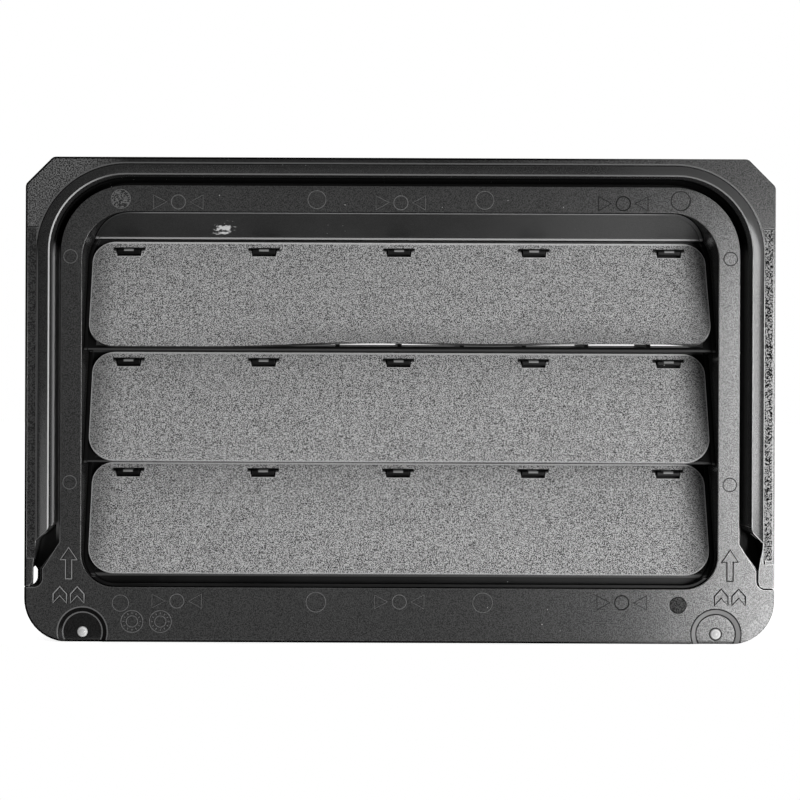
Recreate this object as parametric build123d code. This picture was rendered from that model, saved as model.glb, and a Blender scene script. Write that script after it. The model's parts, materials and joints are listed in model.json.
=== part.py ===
from build123d import *
import os
from math import cos, radians, tan

# Pressure relief vent: a snap-in moulded frame, a louvre grid in its collar and three hanging rubber flaps.
# The origin is the middle of the panel cut-out. +X is right as seen from outside, +Z is up, outside is -Y.
# All sizes are millimetres. The panel's outer face is the plane y = 0.

# Air opening in the frame
OPENING_WIDTH = 226.0
OPENING_HEIGHT = 133.4
OPENING_TOP_ROUND = 16.7
OPENING_BOTTOM_ROUND = 11.7

# Face plate round the opening, and the apron under it
FACE_SIDE = 7.65
FACE_TOP = 9.3
APRON_HEIGHT = 19.5
PLATE = 2.2
WALL = 1.6
EDGE_ROUND = 0.3
BOTTOM_ROUND = 15.3

# Rain gutter over the top and down both sides, with the wedge-shaped rim outside it
ARCH_ROUND = 23.8
GUTTER_WIDTH = 3.05
GUTTER_FLOOR = 1.6
GUTTER_DRAFT = 2.0
GUTTER_EDGE = 0.15
RIM_HEIGHT = 6.0
RIM_SPREAD = 5.45
RIM_SPREAD_TOP = 4.45
RIM_CREST = 0.5
RIM_SKIN = 1.6

# Arms and chamfered corner plates outside the rim
ARM_WIDTH = 4.05
ARM_END_WIDTH = 3.0
ARM_END_ROUND = 2.4
TOP_MARGIN = 2.55
TOP_CHAMFER = 9.8
CHAMFER_ROUND = 2.4

# Drains at the lower ends of the gutter
DRAIN_HEIGHT = 21.8
DRAIN_STRAIGHT = 5.9
DRAIN_SLANT = 9.5
DRAIN_REACH = 6.05
DRAIN_BEND = 3.0
DRAIN_SHOULDER_TOP = 1.0
DRAIN_SHOULDER = 4.5
DRAIN_LIP = 1.0
DRAIN_FLOOR_LENGTH = 14.1
DRAIN_FLOOR_SLANT = 8.0
DRAIN_SKIRT = 1.0
DRAIN_SLIT = 0.45
DRAIN_STEP = 0.2
APRON_INNER_ROUND = 3.3
CHUTE_DEPTH = 7.0
CHUTE_FLARE = 2.95

# Stand-off, collar and panel
GASKET_THICKNESS = 4.0
STAND_OFF = 14.0
COLLAR_WALL = 1.8
COLLAR_DEPTH = 32.0
PANEL_THICKNESS = 1.2
GASKET_SQUEEZE = 1.0

# Sealing ring, its ladder ribs along the apron and the foam on it
SEAL_BOTTOM_ROUND = 14.0
GASKET_MARGIN = 0.8
GASKET_WIDTH = 5.0
LADDER_RIB = 1.4

# Side strips set in the two arms
STRIP_WIDTH = 2.9
STRIP_THICKNESS = 0.8
STRIP_MARGIN = 0.9
STRIP_DROP = 25.2
STRIP_RISE = 10.4
SEAM_WIDTH = 0.3
SEAM_DEPTH = 0.3

# Snap hooks that hold the frame in the panel
SNAP_SPACING = 79.0
SNAP_WIDTH = 16.0
SNAP_STEM = 1.6
SNAP_GAP = 1.5
SNAP_BITE = 3.4
SNAP_PLAY = 0.2
SNAP_LAND = 0.8
SNAP_RAMP = 6.8
SNAP_TIP_TAPER = 0.3

# Locating fins on the collar's sides
FIN_HEIGHT = 30.0
FIN_THICKNESS = 1.6
FIN_REACH = 1.2
FIN_LENGTH = 23.0

# Gate dishes in the apron's corners
DISH_INSET = 20.7
DISH_RISE = 3.5
DISH_OUTER = 8.9
DISH_INNER = 7.0
DISH_DEPTH = 0.8
NUB_RADIUS = 1.9
NUB_HEIGHT = 1.1

# Hanging flaps
FLAP_COUNT = 3
FLAP_SET_BACK = 19.0
FLAP_LEAN = 20.0
FLAP_SIDE_GAP = 0.3
FLAP_OVERLAP = 1.3
FLAP_HEAD = 2.0
FLAP_THICKNESS = 1.0
FLAP_TOP_ROUND = 8.0
FLAP_BOTTOM_ROUND = 9.6
SEAT_GAP = 0.25

# Windows in the flaps and the hooks that stand in them
HOOK_COUNT = 5
HOOK_MARGIN = 13.1
SLIT_SIDE = 0.95
SLIT_TOP = 0.1
SLIT_HEIGHT = 0.9
WINDOW_SIDE_GAP = 0.3
WINDOW_TAPER = 0.35
WINDOW_REACH = 3.6
HOOK_WIDTH = 8.1
HOOK_NECK_TOP = -0.6
HOOK_NECK = 1.1
HOOK_FRONT = -2.25
HOOK_LIP = 1.2
HOOK_TIP = -2.45
HOOK_ROOT = 1.5
HOOK_BACK_WIDTH = 13.2
HOOK_BACK_DROP = 4.6
HOOK_EDGE = 0.4

# Louvre grid
GRID_CLEARANCE = 0.2
GRID_WALL = 1.0
GRID_BACK_FLANGE = 1.6
BAR_THICKNESS = 1.8
BAR_FALL = 1.4
BAR_NOSE_ROUND = 0.8
HEAD_ROOM = 2.3
SWING_ROOM = 2.6
BAFFLE_THICKNESS = 1.2
BAFFLE_RISE = 0.8
RIB_COUNT = 9
RIB_THICKNESS = 1.6
LEDGE_WIDTH = 3.0
CHEEK_REACH = 2.0
SEAT_START = 3.4
HOOD_DROP = 8.4
HOOD_GAP = 0.6
HOOD_SET_BACK = 0.6
HOOD_NOSE_GAP = 3.0
HOOD_NOSE_RISE = 0.7
HOOD_ROOT = 3.6
SILL_RISE = 3.8
SILL_SET_BACK = 1.6

# Snap nubs of the grid and their windows in the collar
NUB_WIDTH = 9.4
NUB_BITE = 0.9
NUB_LENGTH = 2.6
NUB_PLAY = 0.3
NUB_DEPTH = 23.6

# Depths worked out from the sizes above
LAND = -GASKET_THICKNESS
FACE = LAND - STAND_OFF
PLATE_BACK = FACE + PLATE
GUTTER_BASE = LAND - GUTTER_FLOOR
COLLAR_REACH = FACE + COLLAR_DEPTH
GRID_BACK = COLLAR_REACH + GRID_BACK_FLANGE
AXIS_DEPTH = FACE + FLAP_SET_BACK

# Widths and heights worked out from the opening outwards
HALF_OPENING = OPENING_WIDTH / 2
ROOF = OPENING_HEIGHT / 2
ARCH_HALF_WIDTH = HALF_OPENING + FACE_SIDE
ARCH_TOP = ROOF + FACE_TOP
RIM_EDGE = ARCH_HALF_WIDTH + GUTTER_WIDTH + RIM_SPREAD
HALF_FRAME = RIM_EDGE + ARM_WIDTH
FRAME_TOP = ARCH_TOP + GUTTER_WIDTH + RIM_SPREAD_TOP + TOP_MARGIN
FRAME_BOTTOM = -ROOF - APRON_HEIGHT
SEAL_TOP = ARCH_TOP - WALL
APRON_TOP = -ROOF - DRAIN_STEP
RIM_FOOT = -ROOF + DRAIN_HEIGHT
DRAIN_TURN = RIM_FOOT - DRAIN_STRAIGHT
DRAIN_MOUTH = DRAIN_TURN - DRAIN_SLANT
STRIP_TOP = FRAME_TOP - STRIP_DROP
STRIP_FOOT = APRON_TOP + STRIP_RISE
DRAIN_FLOOR_END = RIM_FOOT - DRAIN_FLOOR_LENGTH
SNAP_PLACES = [-SNAP_SPACING, 0, SNAP_SPACING]

# Flaps, hooks and ribs shared out over the opening
FLAP_PITCH = (OPENING_HEIGHT - HOOD_DROP - HOOD_GAP - SILL_RISE) / FLAP_COUNT
BAR_DROP = FLAP_PITCH - BAR_THICKNESS - HEAD_ROOM
FLAP_HALF_WIDTH = HALF_OPENING - GRID_CLEARANCE - GRID_WALL - FLAP_SIDE_GAP
FLAP_LENGTH = (BAR_DROP + FLAP_OVERLAP) / cos(radians(FLAP_LEAN))
LEAN_SLOPE = tan(radians(FLAP_LEAN))
SKIN_OUT = FLAP_THICKNESS / 2 / cos(radians(FLAP_LEAN))
SEAT_AT_AXIS = AXIS_DEPTH + SKIN_OUT + SEAT_GAP
BAR_FRONT = SEAT_AT_AXIS - BAR_DROP * LEAN_SLOPE
HOOD_FOOT = ROOF - HOOD_DROP
HOOD_FRONT = FACE + HOOD_SET_BACK
HOOD_NOSE = AXIS_DEPTH - HOOD_NOSE_GAP
FIRST_AXIS = ROOF - HOOD_DROP - HOOD_GAP - HEAD_ROOM
FLAP_AXES = [FIRST_AXIS - FLAP_PITCH * step for step in range(FLAP_COUNT)]
HOOK_SPACING = 2 * (FLAP_HALF_WIDTH - HOOK_MARGIN) / (HOOK_COUNT - 1)
HOOK_PLACES = [HOOK_SPACING * (step - (HOOK_COUNT - 1) / 2) for step in range(HOOK_COUNT)]
RIB_SPACING = 2 * FLAP_HALF_WIDTH / (RIB_COUNT + 1)
RIB_PLACES = [RIB_SPACING * (step - (RIB_COUNT - 1) / 2) for step in range(RIB_COUNT)]

# Small amounts for solids that grow into each other, and a length past everything
BLEND = 0.5
FAR = 400.0


def slab(shape, front, back):
    """A flat outline in x and z, made solid from y = front to y = back."""
    return extrude(Plane.XZ.offset(-back) * shape, back - front)


def along_x(points, low, high):
    """A side-view profile of (y, z) points, made solid from x = low to x = high."""
    profile = make_face(Polyline(*points, close=True))
    return extrude(Plane.YZ.offset(low) * profile, high - low)


def rounded_box(half_width, top, bottom, top_round, bottom_round):
    """A rectangle in x and z with its own radius for the upper and the lower corners."""
    shape = Pos(0, (top + bottom) / 2) * Rectangle(2 * half_width, top - bottom)
    shape = fillet(shape.vertices().group_by(Axis.Y)[-1], top_round)
    return fillet(shape.vertices().group_by(Axis.Y)[0], bottom_round)


def outline():
    """The frame's outer edge: chamfered above, rounded below."""
    shape = Pos(0, (FRAME_TOP + FRAME_BOTTOM) / 2) * Rectangle(2 * HALF_FRAME, FRAME_TOP - FRAME_BOTTOM)
    shape = fillet(shape.vertices().group_by(Axis.Y)[0], BOTTOM_ROUND)
    shape = chamfer(shape.vertices().group_by(Axis.Y)[-1], TOP_CHAMFER)
    corners = shape.vertices().filter_by(lambda v: v.Y > FRAME_TOP - TOP_CHAMFER - 1)
    return fillet(corners, CHAMFER_ROUND)


def opening(grow=0.0):
    """The air opening, grown or shrunk all round."""
    half_height = ROOF + grow
    top_round = OPENING_TOP_ROUND + grow
    bottom_round = OPENING_BOTTOM_ROUND + grow
    return rounded_box(HALF_OPENING + grow, half_height, -half_height, top_round, bottom_round)


def arch(grow, foot):
    """The inverted U inside the gutter, grown outwards, down to the height foot."""
    top = ARCH_TOP + grow
    half = ARCH_HALF_WIDTH + grow
    shape = Pos(0, (top + foot) / 2) * Rectangle(2 * half, top - foot)
    return fillet(shape.vertices().group_by(Axis.Y)[-1], ARCH_ROUND + grow)


def drain(lip):
    """The right-hand drain: the gutter's foot turns outwards to a slit above the apron."""
    beyond = HALF_FRAME + ARM_WIDTH
    inner = ARCH_HALF_WIDTH + DRAIN_REACH + lip
    arm_end = HALF_FRAME - ARM_END_WIDTH + lip
    arm_foot = APRON_TOP + DRAIN_SLIT
    shoulder = RIM_FOOT - DRAIN_SHOULDER_TOP
    points = [
        (ARCH_HALF_WIDTH, RIM_FOOT + BLEND),
        (ARCH_HALF_WIDTH, DRAIN_TURN),
        (inner, DRAIN_MOUTH),
        (inner, APRON_TOP),
        (beyond, APRON_TOP),
        (beyond, arm_foot),
        (arm_end, arm_foot),
        (arm_end, DRAIN_MOUTH),
        (RIM_EDGE, shoulder - DRAIN_SHOULDER),
        (ARCH_HALF_WIDTH + GUTTER_WIDTH, shoulder),
        (ARCH_HALF_WIDTH + GUTTER_WIDTH, RIM_FOOT + BLEND),
    ]
    shape = make_face(Polyline(*points, close=True))
    bend = shape.vertices().sort_by_distance((ARCH_HALF_WIDTH + GUTTER_WIDTH, shoulder))[0]
    shape = fillet(bend, DRAIN_BEND)
    apron_corner = shape.vertices().sort_by_distance((inner, APRON_TOP))[0]
    shape = fillet(apron_corner, APRON_INNER_ROUND)
    arm_corner = shape.vertices().sort_by_distance((arm_end, arm_foot))[0]
    return fillet(arm_corner, ARM_END_ROUND)


def drains(lip=0.0):
    """Both drains seen from the front."""
    right = drain(lip)
    return right + mirror(right, Plane.YZ)


def drain_mouths():
    """Where both drains are open to the back, below the slanted end of their floors."""
    inner = ARCH_HALF_WIDTH + DRAIN_REACH
    outer = HALF_FRAME - DRAIN_SKIRT
    foot = APRON_TOP - WALL - BLEND
    floor = [(inner, DRAIN_FLOOR_END - DRAIN_FLOOR_SLANT), (outer, DRAIN_FLOOR_END)]
    right = make_face(Polyline(*floor, (outer, foot), (inner, foot), close=True))
    return right + mirror(right, Plane.YZ)


def chute(side):
    """The thin wall under a drain that leads the water outwards, seen from the front as a curved band."""
    inner = ARCH_HALF_WIDTH + DRAIN_REACH
    beyond = HALF_FRAME + ARM_WIDTH
    points = [(inner, DRAIN_MOUTH), (inner, APRON_TOP), (beyond, APRON_TOP), (beyond, DRAIN_MOUTH)]
    shape = make_face(Polyline(*points, close=True))
    corner = shape.vertices().sort_by_distance((inner, APRON_TOP))[0]
    shape = fillet(corner, APRON_INNER_ROUND)
    band = (offset(shape, WALL) - shape) & below(DRAIN_MOUTH)
    if side < 0:
        band = mirror(band, Plane.YZ)
    start = FACE + EDGE_ROUND
    share = 1 - EDGE_ROUND / CHUTE_DEPTH
    leading = Vector(side * CHUTE_FLARE * share, CHUTE_DEPTH * share, 0)
    walls = [Solid.extrude(face, leading) for face in (Plane.XZ.offset(-start) * band).faces()]
    return walls[0].fuse(*walls[1:]) & slab(outline(), FACE, LAND)


def gutter_band():
    """The gutter without its drains, seen from the front."""
    return arch(GUTTER_WIDTH, RIM_FOOT) - arch(0, RIM_FOOT)


def below(height):
    """Everything below a height, as a flat outline."""
    return Pos(0, height - FAR / 2) * Rectangle(FAR, FAR)


def along_arch(profile, foot):
    """A closed profile of (outwards, y) points, swept along the gutter's outer wall from foot to foot."""
    half = ARCH_HALF_WIDTH + GUTTER_WIDTH
    top = ARCH_TOP + GUTTER_WIDTH
    corners = [(-half, 0, foot), (-half, 0, top), (half, 0, top), (half, 0, foot)]
    path = FilletPolyline(*corners, radius=ARCH_ROUND + GUTTER_WIDTH)
    start = Plane(origin=corners[0], x_dir=(-1, 0, 0), z_dir=(0, 0, -1))
    return sweep(start * profile, path=path)


def gutter_channel():
    """The gutter's channel over the top and down both sides, narrowing towards its floor."""
    crest = FACE - RIM_HEIGHT
    lean = tan(radians(GUTTER_DRAFT)) * (GUTTER_BASE - crest)
    points = [
        (0, crest - BLEND),
        (0, crest),
        (-lean, GUTTER_BASE),
        (lean - GUTTER_WIDTH, GUTTER_BASE),
        (-GUTTER_WIDTH, FACE + GUTTER_EDGE),
        (-GUTTER_WIDTH - GUTTER_EDGE, FACE),
        (-GUTTER_WIDTH - GUTTER_EDGE, crest - BLEND),
    ]
    return along_arch(make_face(Polyline(*points, close=True)), RIM_FOOT)


def rim_outline(out, up, foot):
    """The rim seen from the front, as far out and up from the gutter's outer wall as given."""
    half = ARCH_HALF_WIDTH + GUTTER_WIDTH + out
    top = ARCH_TOP + GUTTER_WIDTH + up
    shape = Pos(0, (top + foot) / 2) * Rectangle(2 * half, top - foot)
    return fillet(shape.vertices().group_by(Axis.Y)[-1], ARCH_ROUND + GUTTER_WIDTH + (out + up) / 2)


def rim():
    """The wedge-shaped rim outside the gutter, and the core that leaves it an even skin from behind."""
    foot = RIM_FOOT - RIM_SPREAD - WALL
    crest = FACE - RIM_HEIGHT
    base = rim_outline(RIM_SPREAD, RIM_SPREAD_TOP, foot)
    ridge = rim_outline(RIM_CREST, RIM_CREST, foot)
    wedge = loft([Plane.XZ.offset(-FACE) * base, Plane.XZ.offset(-crest) * ridge], ruled=True)
    wedge += slab(base, FACE, PLATE_BACK)
    wedge -= slab(arch(GUTTER_WIDTH / 2, foot - BLEND), crest - BLEND, PLATE_BACK)
    slope = RIM_HEIGHT / (RIM_SPREAD_TOP - RIM_CREST)
    shift = RIM_SKIN * (1 + slope**2) ** 0.5
    core_tip = crest + (RIM_SKIN - RIM_CREST) * slope + shift
    core_reach = RIM_SKIN + (PLATE_BACK - core_tip) / slope
    core = Polyline((RIM_SKIN, PLATE_BACK), (RIM_SKIN, core_tip), (core_reach, PLATE_BACK), close=True)
    return wedge, along_arch(make_face(core), foot)


def face_plate(edge):
    """The flat plate with its front edges rounded, outside and round the opening."""
    plate = slab(edge - opening(), FACE, PLATE_BACK)
    front = plate.faces().sort_by(Axis.Y)[0]
    return fillet(front.edges(), EDGE_ROUND)


def seal_ring(grow):
    """The closed loop that the foam follows, grown outwards."""
    return rounded_box(
        ARCH_HALF_WIDTH - WALL + grow,
        SEAL_TOP + grow,
        -SEAL_TOP - grow,
        ARCH_ROUND - WALL + grow,
        SEAL_BOTTOM_ROUND + grow,
    )


def ladder():
    """Two ribs and their rungs behind the apron, which carry the foam where there is no gutter."""
    width = GUTTER_WIDTH + 2 * WALL
    inner = seal_ring(WALL) - seal_ring(0)
    outer = seal_ring(width) - seal_ring(width - WALL)
    foot = -SEAL_TOP - width / 2
    rungs = [Pos(x, foot) * Rectangle(LADDER_RIB, width) for x in RIB_PLACES]
    ribs = (inner + outer) & below(DRAIN_TURN + WALL)
    return slab(ribs, PLATE_BACK - BLEND, LAND) + [slab(rung, PLATE_BACK - BLEND, LAND) for rung in rungs]


def snap_hook(place, side):
    """A springy prong behind the frame; its barb catches behind the panel's edge."""
    inner = ROOF + COLLAR_WALL + SNAP_GAP
    outer = inner + SNAP_STEM
    catch = PANEL_THICKNESS - GASKET_SQUEEZE + SNAP_PLAY
    points = [
        (PLATE_BACK - BLEND, inner),
        (PLATE_BACK - BLEND, outer),
        (catch, outer),
        (catch, outer + SNAP_BITE),
        (catch + SNAP_LAND, outer + SNAP_BITE),
        (catch + SNAP_LAND + SNAP_RAMP, outer - SNAP_TIP_TAPER),
        (catch + SNAP_LAND + SNAP_RAMP, inner),
    ]
    return along_x([(y, side * z) for y, z in points], place - SNAP_WIDTH / 2, place + SNAP_WIDTH / 2)


def fins():
    """Four fins on the collar's sides that centre the vent in the cut-out."""
    start = HALF_OPENING + COLLAR_WALL / 2
    reach = COLLAR_WALL / 2 + FIN_REACH
    solids = []
    for side in (-1, 1):
        for z in (-FIN_HEIGHT, FIN_HEIGHT):
            shape = Pos(side * (start + reach / 2), z) * Rectangle(reach, FIN_THICKNESS)
            solids.append(slab(shape, PLATE_BACK - BLEND, FACE + FIN_LENGTH))
    return solids


def nub_places():
    """Where the grid snaps into the collar: (x, z, turn about Y)."""
    middle = SNAP_SPACING / 2
    return [
        (-middle, ROOF, 0),
        (middle, ROOF, 0),
        (-middle, -ROOF, 180),
        (middle, -ROOF, 180),
        (HALF_OPENING, 0, 90),
        (-HALF_OPENING, 0, -90),
    ]


def collar_windows():
    """Windows through the collar wall that the grid's nubs drop into."""
    length = NUB_LENGTH + 2 * NUB_PLAY
    window = Box(NUB_WIDTH + 2 * NUB_PLAY, length, 3 * COLLAR_WALL)
    return [Pos(x, FACE + NUB_DEPTH, z) * Rot(0, turn, 0) * window for x, z, turn in nub_places()]


def gate_dish(side):
    """A stepped dish in the apron, cut open by its lower edge, with a domed nub in its middle."""
    middle = Pos(side * (HALF_FRAME - DISH_INSET), FACE, FRAME_BOTTOM + DISH_RISE)
    turned = Rot(90, 0, 0)
    slope = Cone(DISH_INNER, DISH_OUTER, DISH_DEPTH)
    dish = middle * turned * Pos(0, 0, -DISH_DEPTH / 2) * slope
    cap = (NUB_RADIUS**2 + NUB_HEIGHT**2) / (2 * NUB_HEIGHT)
    ball = Pos(0, 0, NUB_HEIGHT - DISH_DEPTH - cap) * Sphere(cap)
    keep = Pos(0, 0, -DISH_DEPTH + NUB_HEIGHT / 2) * Cylinder(NUB_RADIUS, NUB_HEIGHT + BLEND)
    return dish, middle * turned * (ball & keep)


def strip_middle(side):
    """The x of a side strip's middle."""
    return side * (HALF_FRAME - STRIP_MARGIN - STRIP_WIDTH / 2)


def strip_outline(side):
    """A side strip seen from the front."""
    middle = (STRIP_TOP + STRIP_FOOT) / 2
    return Pos(strip_middle(side), middle) * Rectangle(STRIP_WIDTH, STRIP_TOP - STRIP_FOOT)


def seams():
    """Fine grooves between the corner plates and the arms."""
    groove = Rectangle(ARM_WIDTH + BLEND, SEAM_WIDTH)
    middle = HALF_FRAME - ARM_WIDTH / 2
    height = STRIP_TOP + SEAM_WIDTH
    return [slab(Pos(side * middle, height) * groove, FACE - BLEND, FACE + SEAM_DEPTH) for side in (-1, 1)]


def outer_frame():
    """The moulded frame: face plate, rim, gutter, collar, sealing land, snap hooks and gate dishes."""
    edge = outline()
    wide_gutter = offset(gutter_band() + drains(DRAIN_LIP), WALL) & edge
    solid, hollow = rim()
    body = face_plate(edge) + slab(wide_gutter, FACE + EDGE_ROUND, LAND) + solid
    body += slab(opening(COLLAR_WALL), FACE + EDGE_ROUND, COLLAR_REACH)
    body += ladder()
    body -= hollow
    body -= gutter_channel()
    body -= slab(drains(), FACE - 2 * RIM_HEIGHT, PLATE_BACK)
    body -= slab(drains(DRAIN_LIP), PLATE_BACK, GUTTER_BASE)
    body -= slab(drain_mouths(), PLATE_BACK, FAR)
    body += [chute(-1), chute(1)]
    body -= slab(opening(), -FAR, FAR)
    body += fins()
    body += [snap_hook(place, side) for side in (-1, 1) for place in SNAP_PLACES]
    body -= collar_windows()
    body -= seams()
    for side in (-1, 1):
        dish, nub = gate_dish(side)
        body = body - dish + nub
        body -= slab(strip_outline(side), FACE - BLEND, FACE + STRIP_THICKNESS)
    return body


def seat_y(axis, z):
    """Depth of the seat behind a flap at the height z."""
    return SEAT_AT_AXIS - (axis - z) * LEAN_SLOPE


def bar_middle(axis, y):
    """Height of the middle of the bar above a flap, at the depth y; the bars fall towards the outside."""
    fall = BAR_FALL * (y - BAR_FRONT) / (GRID_BACK - BAR_FRONT)
    return axis + HEAD_ROOM + BAR_THICKNESS / 2 + fall


def bay_profile(axis):
    """Side view of a rib in one bay: clear of the flap's head above, an inclined seat below."""
    bottom = axis - BAR_DROP - BAR_THICKNESS / 2
    shoulder = AXIS_DEPTH + SWING_ROOM
    start = axis - SEAT_START
    return [
        (GRID_BACK, bar_middle(axis, GRID_BACK)),
        (shoulder, bar_middle(axis, shoulder)),
        (shoulder, start + SEAT_START / 4),
        (seat_y(axis, start), start),
        (seat_y(axis, bottom), bottom),
        (GRID_BACK, bottom),
    ]


def cheek_profile(axis):
    """Side view of the grid's side wall in one bay: its front edge stands a little before the flap."""
    top = axis + HEAD_ROOM + HOOD_GAP
    bottom = axis - BAR_DROP - BAR_THICKNESS
    return [
        (GRID_BACK, top),
        (seat_y(axis, top) - CHEEK_REACH, top),
        (seat_y(axis, bottom) - CHEEK_REACH, bottom),
        (GRID_BACK, bottom),
    ]


def bar(axis):
    """A louvre bar below a bay, falling outwards; its rounded nose is the seat of the flap's foot."""
    top = axis - BAR_DROP
    bottom = top - BAR_THICKNESS
    nose = [(seat_y(axis, top), top), (seat_y(axis, bottom), bottom)]
    back = [(GRID_BACK, bottom + BAR_FALL), (GRID_BACK, top + BAR_FALL)]
    profile = make_face(Polyline(*nose, *back, close=True))
    profile = fillet(profile.vertices().sort_by(Axis.X)[:2], BAR_NOSE_ROUND)
    return extrude(Plane.YZ.offset(-HALF_OPENING) * profile, 2 * HALF_OPENING)


def hood():
    """The sloping hood over the first flap, from the frame's edge back to its nose."""
    points = [
        (HOOD_FRONT, ROOF),
        (HOOD_NOSE, HOOD_FOOT + HOOD_NOSE_RISE),
        (HOOD_NOSE, HOOD_FOOT),
        (GRID_BACK, HOOD_FOOT),
        (GRID_BACK, HOOD_FOOT + BAR_THICKNESS),
        (HOOD_NOSE + HOOD_ROOT / 3, HOOD_FOOT + BAR_THICKNESS),
        (HOOD_FRONT + HOOD_ROOT, ROOF),
    ]
    return along_x(points, -HALF_OPENING, HALF_OPENING)


def sill():
    """The upright under the lowest bar that closes the foot of the grid."""
    top = FLAP_AXES[-1] - BAR_DROP - BAR_THICKNESS / 2
    front = seat_y(FLAP_AXES[-1], top)
    back = front + BAR_THICKNESS
    return along_x([(front, top), (back, top), (back, -ROOF), (front, -ROOF)], -HALF_OPENING, HALF_OPENING)


def grid_shell():
    """The grid's outer wall, with a sawtooth front edge beside the flaps."""
    tube = opening(-GRID_CLEARANCE) - opening(-GRID_CLEARANCE - GRID_WALL)
    shell = slab(tube, HOOD_FRONT, GRID_BACK)
    keep = [cheek_profile(axis) for axis in FLAP_AXES]
    sill_top = FLAP_AXES[-1] - BAR_DROP - BAR_THICKNESS
    sill_front = FACE + SILL_SET_BACK
    keep.append([(HOOD_FRONT, ROOF), (GRID_BACK, ROOF), (GRID_BACK, HOOD_FOOT), (HOOD_NOSE, HOOD_FOOT)])
    keep.append([(sill_front, sill_top), (GRID_BACK, sill_top), (GRID_BACK, -ROOF), (sill_front, -ROOF)])
    solids = [along_x(profile, -HALF_OPENING, HALF_OPENING) for profile in keep]
    return shell & (solids[0] + solids[1:])


def flap_hook(x, axis):
    """A hook through a flap's window, on a plate that hangs from the bar behind the flap's head."""
    y = AXIS_DEPTH
    shoulder = y + SWING_ROOM
    top = bar_middle(axis, shoulder)
    neck_top = axis + HOOK_NECK_TOP
    neck_foot = neck_top - HOOK_NECK
    points = [
        (shoulder, top),
        (shoulder, neck_top),
        (y + HOOK_FRONT + HOOK_EDGE, neck_top),
        (y + HOOK_FRONT, neck_top - HOOK_EDGE),
        (y + HOOK_FRONT, axis + HOOK_TIP + HOOK_EDGE),
        (y + HOOK_FRONT + HOOK_EDGE, axis + HOOK_TIP),
        (y + HOOK_FRONT + HOOK_LIP, axis + HOOK_TIP),
        (y + HOOK_FRONT + HOOK_LIP, neck_foot),
        (shoulder + HOOK_ROOT, neck_foot),
        (shoulder + HOOK_ROOT, top),
    ]
    foot = axis - HOOK_BACK_DROP
    back = [(shoulder, top), (shoulder + HOOK_ROOT, top), (shoulder + HOOK_ROOT, foot), (shoulder, foot)]
    plate = along_x(back, x - HOOK_BACK_WIDTH / 2, x + HOOK_BACK_WIDTH / 2)
    return along_x(points, x - HOOK_WIDTH / 2, x + HOOK_WIDTH / 2) + plate


def baffle(axis):
    """A low wall that hangs behind a flap's head, so that rain can't be blown over it."""
    front = AXIS_DEPTH + SWING_ROOM
    back = front + BAFFLE_THICKNESS
    top = bar_middle(axis, front)
    foot = axis + BAFFLE_RISE
    return along_x([(front, top), (back, top), (back, foot), (front, foot)], -HALF_OPENING, HALF_OPENING)


def snap_nubs():
    """Ramped nubs on the grid's wall that drop into the collar's windows."""
    bite = GRID_CLEARANCE + NUB_BITE
    end = NUB_LENGTH / 2
    root = -GRID_WALL / 2
    points = [(-end, root), (end, root), (end, bite), (end - NUB_BITE / 2, bite), (-end, 0)]
    nub = Pos(0, FACE + NUB_DEPTH, -GRID_CLEARANCE) * along_x(points, -NUB_WIDTH / 2, NUB_WIDTH / 2)
    return [Pos(x, 0, z) * Rot(0, turn, 0) * nub for x, z, turn in nub_places()]


def flap_carrier():
    """The louvre grid: shell, hood, bars, baffles, ribs with inclined seats, ledges and flap hooks."""
    ledge = HALF_OPENING - GRID_CLEARANCE - GRID_WALL - LEDGE_WIDTH
    inside = hood() + sill()
    inside += [bar(axis) for axis in FLAP_AXES]
    inside += [baffle(axis) for axis in FLAP_AXES]
    for axis in FLAP_AXES:
        profile = bay_profile(axis)
        for x in RIB_PLACES:
            inside += along_x(profile, x - RIB_THICKNESS / 2, x + RIB_THICKNESS / 2)
        inside += along_x(profile, ledge, HALF_OPENING)
        inside += along_x(profile, -HALF_OPENING, -ledge)
        inside += [flap_hook(x, axis) for x in HOOK_PLACES]
    inside &= slab(opening(-GRID_CLEARANCE), FACE, GRID_BACK)
    flange = opening(COLLAR_WALL) - opening(-GRID_CLEARANCE - GRID_WALL)
    return grid_shell() + inside + slab(flange, COLLAR_REACH, GRID_BACK) + snap_nubs()


def window():
    """The T-shaped window in a flap: a slit above, a tapering window below for the hook's lip."""
    middle = -SLIT_TOP - SLIT_HEIGHT / 2
    foot = HOOK_WIDTH / 2 + WINDOW_SIDE_GAP
    head = foot + WINDOW_TAPER
    slit = Pos(0, middle) * Rectangle(2 * (head + SLIT_SIDE), SLIT_HEIGHT)
    corners = [(-head, middle), (head, middle), (foot, -WINDOW_REACH), (-foot, -WINDOW_REACH)]
    return slit + make_face(Polyline(*corners, close=True))


def flap(axis):
    """One rubber flap hanging from its hooks, its foot leaning forward on the seat."""
    sheet = rounded_box(FLAP_HALF_WIDTH, FLAP_HEAD, -FLAP_LENGTH, FLAP_TOP_ROUND, FLAP_BOTTOM_ROUND)
    sheet -= [Pos(x, 0) * window() for x in HOOK_PLACES]
    flat = slab(sheet, -FLAP_THICKNESS / 2, FLAP_THICKNESS / 2)
    return Pos(0, AXIS_DEPTH, axis) * Rot(-FLAP_LEAN, 0, 0) * flat


def gasket():
    """The foam ring on the sealing land."""
    return slab(seal_ring(GASKET_MARGIN + GASKET_WIDTH) - seal_ring(GASKET_MARGIN), LAND, 0)


def side_strip(side):
    """A rough foam strip set flush in one of the arms."""
    return slab(strip_outline(side), FACE, FACE + STRIP_THICKNESS)


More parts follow.
